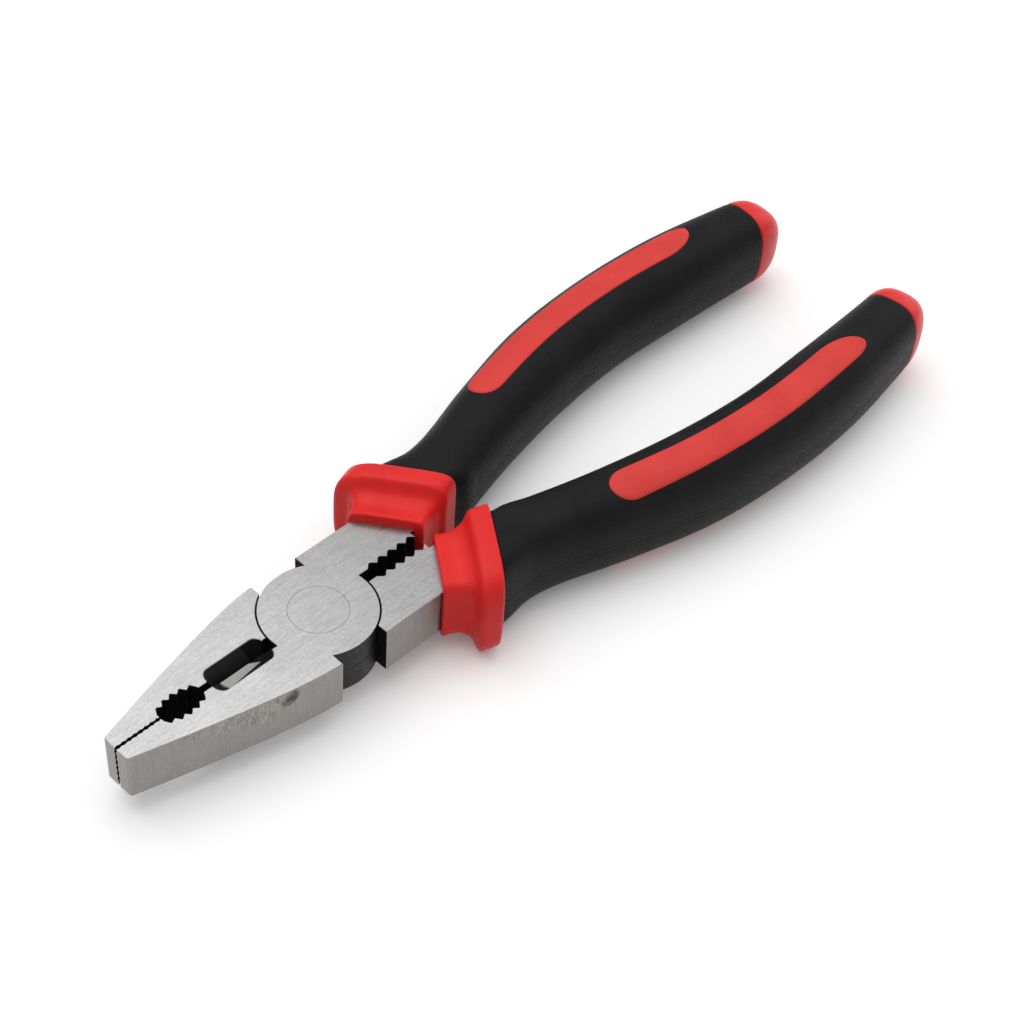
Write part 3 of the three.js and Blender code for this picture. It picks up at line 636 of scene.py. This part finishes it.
def lever_outline():
    """Points of the lever's plan with their edge breaks, gathered clockwise and given counter-clockwise."""
    points = []

    def add(new, edge_break=TOOTH_BREAK):
        points.extend((x, y, edge_break) for x, y in new)

    # Back of the jaw, from the shoulder to the tip
    shoulder = np.array([-SHOULDER_X, -HEAD_HALF_WIDTH])
    knee = np.array([-JAW_BACK_KNEE, -HEAD_HALF_WIDTH])
    tip = np.array([-JAW_REACH, -TIP_HALF_WIDTH])
    add(bend(shoulder, knee, tip, BACK_STEPS)[:-1], EDGE_BREAK)
    before = tip + (knee - tip) / np.linalg.norm(knee - tip) * TIP_ROUND
    add(bend(before, tip, tip + np.array([0, TIP_ROUND]), TIP_STEPS), EDGE_BREAK)
    # Serrated flat
    add([(-JAW_REACH, -FLAT_HALF_GAP)])
    for i, x in enumerate(np.linspace(-JAW_REACH, PIPE_FRONT, SERRATIONS * 2 + 1)[1:]):
        add([(x, -(FLAT_HALF_GAP + (SERRATION_DEPTH if i % 2 == 0 else 0)))])
    # Pipe grip, neck and cutting edge
    add([(PIPE_FRONT, -PIPE_END_HALF_GAP)])
    add(notch_row(PIPE_FRONT, PIPE_REAR, PIPE_TEETH, pipe_edge, PIPE_NOTCH_DEPTH, -1))
    ramp = NECK_HALF_GAP - FLAT_HALF_GAP
    add([(PIPE_REAR, -NECK_HALF_GAP), (CUTTER_FRONT + ramp, -NECK_HALF_GAP)])
    add([(CUTTER_FRONT + CUTTER_INSET, -FLAT_HALF_GAP), (CUTTER_REAR - CUTTER_INSET, -FLAT_HALF_GAP)])
    add([(CUTTER_REAR, -ROOT_HALF_GAP)])
    # Disc on the jaw's inner side, round to the tang's shoulder
    begin = 180 + math.degrees(math.asin(ROOT_HALF_GAP / DISC_RADIUS))
    stop = math.degrees(math.acos(SHOULDER_X / DISC_RADIUS))
    add(arc(DISC_RADIUS, begin, stop, DISC_STEPS))
    # Tang root to its seat in the guard, which is square to the guard, and back along the teeth
    turn = math.radians(GUARD_TILT)
    seat = GUARD_FRONT + TANG_SEAT_DEPTH * np.array([math.cos(turn), math.sin(turn)])
    add([(SHOULDER_X, HEAD_HALF_WIDTH)], EDGE_BREAK)
    for y in (HEAD_HALF_WIDTH, TANG_NECK_HALF_GAP):
        add([(seat[0] - math.tan(turn) * (y - seat[1]), y)], EDGE_BREAK)
    teeth_end = TANG_TEETH_START + TANG_TEETH * TANG_TOOTH_PITCH
    add([(teeth_end, TANG_NECK_HALF_GAP), (teeth_end, TANG_HALF_GAP)])
    row = notch_row(TANG_TEETH_START, teeth_end, TANG_TEETH, tang_edge, TANG_NOTCH_DEPTH, 1)
    add(row[::-1][1:])
    add([(TANG_TEETH_START, TANG_HALF_GAP)])
    # Disc on the tang's inner side, round to the jaw's shoulder
    begin = math.degrees(math.asin(TANG_HALF_GAP / DISC_RADIUS))
    add(arc(DISC_RADIUS, begin, stop - 180, DISC_STEPS))
    return np.array(points[::-1])


def offset_plan(outline):
    """The plan drawn in at each point by its edge break."""
    p = outline[:, :2]
    d = np.roll(p, -1, axis=0) - p
    d /= np.linalg.norm(d, axis=1)[:, None]
    n_next = np.stack([-d[:, 1], d[:, 0]], axis=1)
    n_prev = np.roll(n_next, 1, axis=0)
    mitre = (n_next + n_prev) / np.maximum(1 + (n_next * n_prev).sum(axis=1), 0.5)[:, None]
    return p + mitre * outline[:, 2:3]


def prism_object(name, outline):
    """Plan as high as the head, with its upper and lower edges broken."""
    inner, outer, drop = offset_plan(outline), outline[:, :2], outline[:, 2]
    flat = np.full(len(outline), HEAD_TOP)
    levels = [(inner, -flat), (outer, drop - HEAD_TOP), (outer, HEAD_TOP - drop), (inner, flat)]
    verts, faces = loft([np.column_stack(level) for level in levels])
    return mesh_object(name, verts, faces, SHARP["moulding"])


# Tools that cut a lever
def recess_ring(inset, half_widths, end_half_width, z, stop):
    """Outline of a recess at one level: half widths are at its front and rear end.

    The outline has a point at the distance stop from the recess's rear end.
    """
    quarter = np.radians(np.linspace(0, 90, RECESS_CORNER_STEPS + 1))

    def corner(end, inward, half_width, angles):
        reach = inward * CUTTER_CORNER * half_width / CUTTER_HALF_WIDTH
        rise = half_width - end_half_width
        return [(end + reach * (1 - math.cos(q)), end_half_width + rise * math.sin(q)) for q in angles]

    front = corner(CUTTER_FRONT + inset, 1, half_widths[0], quarter)
    rear = corner(CUTTER_REAR - inset, -1, half_widths[1], quarter[::-1])
    (x0, y0), (x1, y1) = front[-1], rear[0]
    parted = CUTTER_REAR - stop
    side = front + [(parted, y0 + (y1 - y0) * (parted - x0) / (x1 - x0))] + rear
    return np.array([(x, -y, z) for x, y in side] + [(x, y, z) for x, y in side[::-1]])


def recess(wall_depth, land_half_widths, land_depth, flip):
    """Recess over a cutting edge: walls from the face of the head, then the ground land."""
    land_top = HEAD_TOP - wall_depth
    rim_top = HEAD_TOP - RECESS_RIM
    slope = RECESS_RIM / wall_depth
    rim_widths = [between(CUTTER_HALF_WIDTH, width, slope) for width in land_half_widths]
    foot, foot_end = FLAT_HALF_GAP * LAND_FOOT_SHARE, FLAT_HALF_GAP * LAND_FOOT_END_SHARE
    land_inset = CUTTER_INSET * LAND_INSET_SHARE
    over = RECESS_TOOL_OVER
    rings = [
        recess_ring(CUTTER_INSET, (foot, foot), foot_end, land_top - land_depth, STRIP_STOP[1]),
        recess_ring(land_inset, land_half_widths, FLAT_HALF_GAP, land_top, STRIP_STOP[0]),
        recess_ring(RECESS_RIM, rim_widths, NECK_HALF_GAP, rim_top, WALL_STOP),
        recess_ring(-over, [CUTTER_HALF_WIDTH + over] * 2, NECK_HALF_GAP + over, rim_top + over, WALL_STOP),
    ]
    return loft([ring * np.array([1, 1, flip]) for ring in rings])


def cross_serrations():
    """Grooves along the flat of the jaw, so that the two flats interlock."""
    steps = math.ceil((HEAD_TOP + CROSS_TOOL_OVER) / CROSS_PITCH * 4)
    levels = np.arange(-steps, steps + 1) * CROSS_PITCH / 4
    wave = 2 / math.pi * np.arcsin(np.sin(2 * math.pi * levels / CROSS_PITCH))
    edge = [(-(FLAT_HALF_GAP + CROSS_DEPTH * (0.5 + 0.5 * w)), z) for w, z in zip(wave, levels)]
    plan = edge + [(CROSS_TOOL_WIDTH, levels[-1]), (CROSS_TOOL_WIDTH, levels[0])]
    ends = (-JAW_REACH - CROSS_TOOL_OVER, PIPE_FRONT + CROSS_RUN_OUT)
    return loft([np.array([(x, y, z) for y, z in plan]) for x in ends])


def disc_room():
    """Room under a lever's half-lap for the other lever's disc."""
    lip, over = DISC_ROOM_BREAK, HEAD_TOOL_OVER
    mouth = [(DISC_ROOM + over, -HEAD_TOP - over), (DISC_ROOM + lip, -HEAD_TOP - lip / 2)]
    return turned(mouth + [(DISC_ROOM, -HEAD_TOP + lip), (DISC_ROOM, LAP_LEVEL)])


def rivet_hole():
    far = HEAD_TOP + HEAD_TOOL_OVER
    head, shank = RIVET_HEAD_RADIUS + RIVET_SEAM, RIVET_SHANK_RADIUS + RIVET_SEAM
    mouth = head + RIVET_EDGE[0]
    return turned([(shank, -far), (shank, HEAD_TOP - RIVET_HEAD_DEPTH), (head, HEAD_TOP - RIVET_EDGE[1]),
                   (mouth, HEAD_TOP + RIVET_HOLE_LIP), (mouth, far)])


def tang_core():
    """Tang inside the handle, along the handle's stations."""
    angles = np.linspace(0, 2 * np.pi, TANG_SIDES, endpoint=False)
    rings = []
    for share in np.linspace(0, 1, TANG_RINGS):
        x = between(GUARD_FRONT[0], TANG_END, share)
        y, _, _, tilt, _, _ = along(x)
        half = between(TANG_FRONT_HALF, TANG_TIP_HALF, share)
        rings.append(section((x, y), tilt, half, TANG_POWERS, angles))
    return loft(rings)


def combine(target, operand, operation):
    """Cuts the operand from the target, or joins it on, and keeps the result as the target's mesh."""
    tool = mesh_object("tool", *operand, SHARP["moulding"])
    modifier = target.modifiers.new("combine", "BOOLEAN")
    modifier.operation = operation
    modifier.solver = "EXACT"
    modifier.object = tool
    bpy.context.view_layer.update()
    evaluated = target.evaluated_get(bpy.context.evaluated_depsgraph_get())
    mesh = bpy.data.meshes.new_from_object(evaluated)
    target.modifiers.clear()
    spent = [target.data, tool.data]
    target.data = mesh
    bpy.data.objects.remove(tool)
    for old in spent:
        bpy.data.meshes.remove(old)


# Limits that tell a lever's surfaces apart: how near to a line counts as on it or close to it, how deep the
# broken edges reach, the slopes of backs, sides and square facets, and where the bright strip may lie
ON_LINE = 0.02
CLOSE = 0.1
TIP_MARGIN = 0.3
STRIP_MARGIN = 0.6
LEANING = 0.05
FACE_DEPTH = 0.2
STEEP = 0.3
SQUARE = 0.9
BRIGHT_DEPTH = 2.5


def steel_kind(centre, normal):
    """Finish of a lever's facet: ground face, ground side, bright strip, painted shade in the recesses or
    black oxide.
    """
    x, y, z = centre
    nx, ny, nz = normal
    jaw_back = x < -SHOULDER_X - ON_LINE and ny < -LEANING and y < -TIP_HALF_WIDTH + TIP_MARGIN
    nose = x < -JAW_REACH + ON_LINE
    tang_back = y > HEAD_HALF_WIDTH - ON_LINE and ny > STEEP
    in_cutter = CUTTER_FRONT < x < CUTTER_REAR
    strip_end = CUTTER_REAR - STRIP_STOP[1]
    on_land = in_cutter and z > HEAD_TOP - BRIGHT_DEPTH and nz > SQUARE and y < 0
    shoulder = abs(nx) > SQUARE and abs(abs(x) - SHOULDER_X) < CLOSE
    toothed = x < CUTTER_FRONT or (x > DISC_RADIUS and abs(y) < TANG_NECK_HALF_GAP + CLOSE)
    if abs(z) > HEAD_TOP - FACE_DEPTH and abs(nz) > STEEP:
        return "face"
    if abs(nz) < STEEP and (jaw_back or nose or tang_back):
        return "side"
    if on_land and x < strip_end + STRIP_MARGIN:
        return "bright"
    # Shoulders, teeth and the cutter's rear end take painted shade
    if shoulder or toothed or (in_cutter and x > strip_end):
        return "recess"
    return "oxide"


def lever_object(side):
    obj = prism_object(f"{side}_lever_forging", lever_outline())
    recesses = [recess(**sizes) for sizes in (UPPER_RECESS, LOWER_RECESS)]
    for tool in (disc_room(), *recesses, rivet_hole(), cross_serrations()):
        combine(obj, tool, "DIFFERENCE")
    combine(obj, tang_core(), "UNION")
    mesh = obj.data
    kinds = list(STEELS)
    for polygon in mesh.polygons:
        polygon.material_index = kinds.index(steel_kind(polygon.center, polygon.normal))
    verts = placed([v.co for v in mesh.vertices], side)
    mesh.vertices.foreach_set("co", verts.astype(np.float32).ravel())
    mesh.shade_smooth()
    mesh.set_sharp_from_angle(angle=math.radians(SHARP["steel"]))
    mesh.update()
    return obj


def rivet_object():
    width, depth = RIVET_EDGE
    upper = [(RIVET_SHANK_RADIUS, HEAD_TOP - RIVET_HEAD_DEPTH), (RIVET_HEAD_RADIUS, HEAD_TOP - depth),
             (RIVET_HEAD_RADIUS - width, HEAD_TOP), (RIVET_MIDDLE_RADIUS, HEAD_TOP)]
    lower = [(radius, -z) for radius, z in upper[::-1]]
    verts, faces = turned(lower + upper)
    return mesh_object("pivot_rivet_turned", placed(verts, "right"), faces, SHARP["steel"])


# Handle pieces
def ring_angles(fine_from, fine_to, fine_count, coarse_from, coarse_count):
    """Angles round a section, closer together at its two sides."""
    fine = np.concatenate([[0], np.geomspace(fine_from, fine_to, fine_count)])
    coarse = np.linspace(coarse_from, np.pi - coarse_from, coarse_count)
    half = np.concatenate([fine, coarse, np.pi - fine[::-1]])
    return np.concatenate([half, -half[::-1][1:-1]]) % (2 * np.pi)


GRIP_ANGLES = ring_angles(0.006, 0.13, 12, 0.15, 64)
GUARD_ANGLES = ring_angles(0.004, 0.09, 6, 0.11, 90)


def seamed_section(centre, tilt, half, power, seam_depth, shift):
    """Section of a handle, shifted across, with the double parting line sunk into its two sides."""
    ring = section(centre, tilt, half, (power, power), GRIP_ANGLES)
    across = np.cos(GRIP_ANGLES)
    seam = -seam_depth * np.exp(-((np.abs(ring[:, 2]) - SEAM_HALF_GAP) / SEAM_WIDTH) ** 2)
    push = shift + np.sign(across) * seam * np.abs(across) ** SEAM_FADE_POWER
    turn = math.radians(tilt)
    ring[:, 0] -= math.sin(turn) * push
    ring[:, 1] += math.cos(turn) * push
    return ring


def handle_ring(x, grow=0.0):
    y, half_width, half_height, tilt, power, shift = along(x)
    return seamed_section((x, y), tilt, (half_width + grow, half_height + grow), power, SEAM_DEPTH, shift)


def quarter_turn(steps):
    """Inward and sunk shares of a rounded edge, from its end face to its side."""
    return [(1 - math.cos(q), 1 - math.sin(q)) for q in np.radians(np.linspace(0, 90, steps + 1))]


def grip_object(side):
    edge = [(GRIP_EDGE * run, -GRIP_EDGE * sunk) for run, sunk in quarter_turn(HANDLE_EDGE_STEPS)]
    places = np.linspace(GRIP_START + GRIP_EDGE, GRIP_END - GRIP_EDGE, GRIP_RINGS)
    rings = [handle_ring(GRIP_START + run, grow) for run, grow in edge]
    rings += [handle_ring(x) for x in places[1:-1]]
    rings += [handle_ring(GRIP_END - run, grow) for run, grow in edge[::-1]]
    verts, faces = loft(rings)
    return mesh_object(f"{side}_grip_shell", placed(verts, side), faces, SHARP["moulding"])


def cap_object(side):
    _, half_width, half_height, _, _, _ = along(CAP_START)
    edge = [(CAP_EDGE * run, -CAP_EDGE * sunk) for run, sunk in quarter_turn(HANDLE_EDGE_STEPS)]
    rings = [handle_ring(CAP_START + run, grow) for run, grow in edge]
    for angle in np.linspace(0, np.pi / 2, CAP_STEPS + 1)[1:-1]:
        x = CAP_START + CAP_EDGE + (CAP_LENGTH - CAP_EDGE) * math.sin(angle) ** (2 / CAP_DOME_POWER)
        size = math.cos(angle) ** (2 / CAP_DOME_POWER)
        y, _, _, tilt, power, _ = along(x)
        half = (half_width * size, half_height * size)
        rings.append(seamed_section((x, y), tilt, half, power, SEAM_DEPTH * size, 0.0))
    tip = (HANDLE_REACH, along(HANDLE_REACH)[0], 0.0)
    verts, faces = loft(rings, tip)
    return mesh_object(f"{side}_end_cap_moulding", placed(verts, side), faces, SHARP["moulding"])


def guard_profile():
    """Rows like the saddle's, with the rounded edges of the lip and of the flange."""
    round_edge = quarter_turn(GUARD_EDGE_STEPS)
    lip = [(LIP_ROUND * run, -LIP_ROUND * sunk, 0.0) for run, sunk in round_edge]
    flange = [(GUARD_LENGTH - FLANGE_ROUND * run, -FLANGE_ROUND * sunk, 1.0) for run, sunk in round_edge]
    return lip + GUARD_SADDLE + flange[::-1]


def guard_object(side):
    turn = math.radians(GUARD_TILT)
    outward = np.array([-math.sin(turn), math.cos(turn)])
    rings = []
    for distance, grow, size in guard_profile():
        flare = LIP_FLARE * min(distance / LIP_LENGTH, 1) * (1 - size) / 2
        middle = between(GUARD_FRONT, GUARD_REAR, distance / GUARD_LENGTH)
        centre = middle + (FLANGE_OFFSET * size + flare) * outward
        half = between(LIP_HALF, FLANGE_HALF, size) + np.array([flare + grow, grow])
        powers = between(LIP_POWERS, FLANGE_POWERS, size)
        rings.append(section(centre, GUARD_TILT, half, powers, GUARD_ANGLES))
    verts, faces = loft(rings)
    return mesh_object(f"{side}_guard_collar", placed(verts, side), faces, SHARP["guard"])


def surface_point(x, across, grow, up):
    """Point on the grip's skin, grown by grow, over or under its middle."""
    y, half_width, half_height, tilt, power, _ = along(x)
    width, height = half_width + grow, half_height + grow
    z = height * max(1 - abs(across / width) ** power, 0) ** (1 / power)
    turn = math.radians(tilt)
    return (x - math.sin(turn) * across, y + math.cos(turn) * across, up * z)


def inlay_places(inset):
    """Places along an inlay whose outline is drawn in by inset, closer together at its round ends."""
    front, rear = INLAY_FRONT + inset, INLAY_REAR - inset
    quarter = np.radians(np.linspace(0, 90, INLAY_END_STEPS + 1))
    ends = INLAY_END_ROUND * (1 - np.cos(quarter))[:-1]
    body = np.linspace(front + INLAY_END_ROUND, rear - INLAY_END_ROUND, INLAY_BODY_STEPS)
    return np.concatenate([front + ends, body, (rear - ends)[::-1]])


def inlay_edge(x, inset, sign):
    """Distance across the grip of an inlay's edge: -1 is its inner side and 1 its outer side."""
    def rise(distance, length):
        share = 1 - min(distance, length) / length
        return math.sqrt(max(1 - share * share, 0))

    wide = sign * rise(x - INLAY_FRONT - inset, INLAY_END_ROUND)
    taper = rise(INLAY_REAR - inset - x, INLAY_TAPER if sign < 0 else INLAY_END_ROUND)
    wide = between(INLAY_TIP_SHARE, wide, taper)
    offset = between(*INLAY_OFFSETS, (x - INLAY_FRONT) / (INLAY_REAR - INLAY_FRONT))
    return offset + wide * (INLAY_HALF_WIDTH - inset)


def inlay_object(side, up, name):
    """Strip let into the grip: a rounded rim from under the skin to its proud top, and the top's own skin."""
    points, faces, edges = [], [], []

    def vertex(x, across, grow):
        points.append(surface_point(x, across, grow, up))
        return len(points) - 1

    for inset, grow in INLAY_RIM:
        xs = inlay_places(inset)
        inner = [vertex(x, inlay_edge(x, inset, -1), grow) for x in xs]
        outer = [vertex(x, inlay_edge(x, inset, 1), grow) for x in xs[1:-1]]
        edges.append((inner, outer))
    loops = [inner + outer[::-1] for inner, outer in edges]
    for a, b in zip(loops[:-1], loops[1:]):
        for k in range(len(a)):
            n = (k + 1) % len(a)
            faces.append((a[k], a[n], b[n], b[k]))
    faces.append(tuple(loops[0]))
    # Top skin: rows across the last loop, which close to a point at both ends
    inset, grow = INLAY_RIM[-1]
    inner, outer = edges[-1]
    rows = [[inner[0]] * (INLAY_ROWS + 1)]
    for x, first, last in zip(inlay_places(inset)[1:-1], inner[1:-1], outer):
        low, high = (inlay_edge(x, inset, sign) for sign in (-1, 1))
        skin = [vertex(x, between(low, high, k / INLAY_ROWS), grow) for k in range(1, INLAY_ROWS)]
        rows.append([first] + skin + [last])
    rows.append([inner[-1]] * (INLAY_ROWS + 1))
    for a, b in zip(rows[:-1], rows[1:]):
        for k in range(INLAY_ROWS):
            faces.append(tuple(dict.fromkeys((a[k], a[k + 1], b[k + 1], b[k]))))
    return mesh_object(name, placed(points, side), faces, SHARP["inlay"])


# Assembly: each piece stands in for its CAD node and rides on its body
def finish_piece(obj, materials, body, node):
    for material in materials:
        obj.data.materials.append(material)
    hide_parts(node)
    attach(obj, body)


for side, upward in (("right", 1), ("left", -1)):
    body = f"{side}_half"
    finish_piece(lever_object(side), STEELS.values(), body, f"{side}_lever")
    finish_piece(guard_object(side), [RED_GUARD], body, f"{side}_front_guard")
    finish_piece(grip_object(side), [BLACK_GRIP], body, f"{side}_grip")
    finish_piece(cap_object(side), [RED_CAP], body, f"{side}_end_cap")
    for level, up in (("upper", upward), ("lower", -upward)):
        inlay = inlay_object(side, up, f"{side}_{level}_inlay_strip")
        finish_piece(inlay, [RED_INLAY], body, f"{side}_{level}_inlay")
    sleeve = frame["nodes"][f"{side}_inner_sleeve"]
    sleeve.data.materials.clear()
    sleeve.data.materials.append(RED_GUARD)
finish_piece(rivet_object(), [STEELS["face"]], "right_half", "pivot_rivet")

# Floor: white paper, lighter where it is seen directly, in a polished surface or through a clear one. Far
# from the part it runs out into the white backdrop.
FLOOR_HALF = 3.0
FLOOR_NEAR = 0.25
FLOOR_FAR = 0.8
FLOOR_RUN_OUT = 0.5
FLOOR_PAPER = (0.55, 0.55, 0.55)
FLOOR_SEEN = (1.1, 1.1, 1.105)
FLOOR_LIFT = 0.08


def floor_material():
    s = Shader("floor_white")
    s.set(Roughness=0.7, Specular_IOR_Level=0.1, Emission_Color=(1, 1, 1, 1))
    seen = s.rays("Is Camera Ray", "Is Glossy Ray", "Is Transmission Ray")
    s.drive("Base Color", s.mix(seen, FLOOR_PAPER, FLOOR_SEEN))
    x, y, _ = s.axes()
    distance = s.math("POWER", s.math("ADD", s.math("MULTIPLY", x, x), s.math("MULTIPLY", y, y)), 0.5)
    far = s.remap(distance, FLOOR_NEAR, FLOOR_FAR, 0.0, FLOOR_RUN_OUT)
    run_out = s.math("MULTIPLY", s.rays("Is Camera Ray"), far)
    s.drive("Emission Strength", s.math("ADD", s.math("MULTIPLY", seen, FLOOR_LIFT), run_out))
    s.bump([(s.even_noise(40, 3.0, 0.5), 0.05, 0.0002)])
    return s.material


corners = [(x * FLOOR_HALF, y * FLOOR_HALF, 0) for x, y in ((-1, -1), (1, -1), (1, 1), (-1, 1))]
floor_mesh = bpy.data.meshes.new("floor")
floor_mesh.from_pydata(corners, [], [(0, 1, 2, 3)])
floor_mesh.materials.append(floor_material())
floor = bpy.data.objects.new("floor", floor_mesh)
bpy.context.scene.collection.objects.link(floor)

# Studio: dim at the horizon and bright overhead, with a white backdrop where it is looked at directly
SKY = [(0.0, 0.30), (0.45, 0.42), (0.68, 0.5), (0.8, 0.62), (0.92, 1.2), (1.0, 1.5)]
world = bpy.data.worlds.new("studio")
bpy.context.scene.world = world
studio = NodeTree(world)
sky = studio.ramp(studio.axes("Generated")[2], [(place, (level,) * 3) for place, level in SKY])
background = studio.nodes["Background"]
background.inputs["Strength"].default_value = 1.0
studio.links.new(studio.mix(studio.rays("Is Camera Ray"), sky, (1, 1, 1)), background.inputs["Color"])


def area_light(name, location, target, size, power):
    data = bpy.data.lights.new(name, "AREA")
    data.shape = "RECTANGLE"
    data.size, data.size_y = size
    data.energy = power
    obj = bpy.data.objects.new(name, data)
    obj.location = location
    obj.rotation_euler = (Vector(target) - Vector(location)).to_track_quat("-Z", "Y").to_euler()
    bpy.context.scene.collection.objects.link(obj)


area_light("rear_fill", (0.7, -0.05, 0.3), (0.09, 0, 0.01), (0.5, 0.35), 0.5)
area_light("overhead_softbox", (0.0, 0.28, 0.75), (0, 0, 0), (0.8, 0.8), 1.8)

# Camera: place in metres, turn in degrees, and lens and sensor in millimetres
CAMERA_PLACE = (-0.21423, -0.17982, 0.29002)
CAMERA_TURN = (44.156, -3.550, -45.924)
CAMERA_LENS = 71.24
CAMERA_SENSOR = 36.0
camera_data = bpy.data.cameras.new("camera")
camera_data.sensor_width = CAMERA_SENSOR
camera_data.lens = CAMERA_LENS
camera = bpy.data.objects.new("camera", camera_data)
camera.location = CAMERA_PLACE
camera.rotation_euler = Euler([math.radians(a) for a in CAMERA_TURN], "XYZ")
bpy.context.scene.collection.objects.link(camera)
bpy.context.scene.camera = camera
bpy.context.scene.view_settings.view_transform = "Standard"
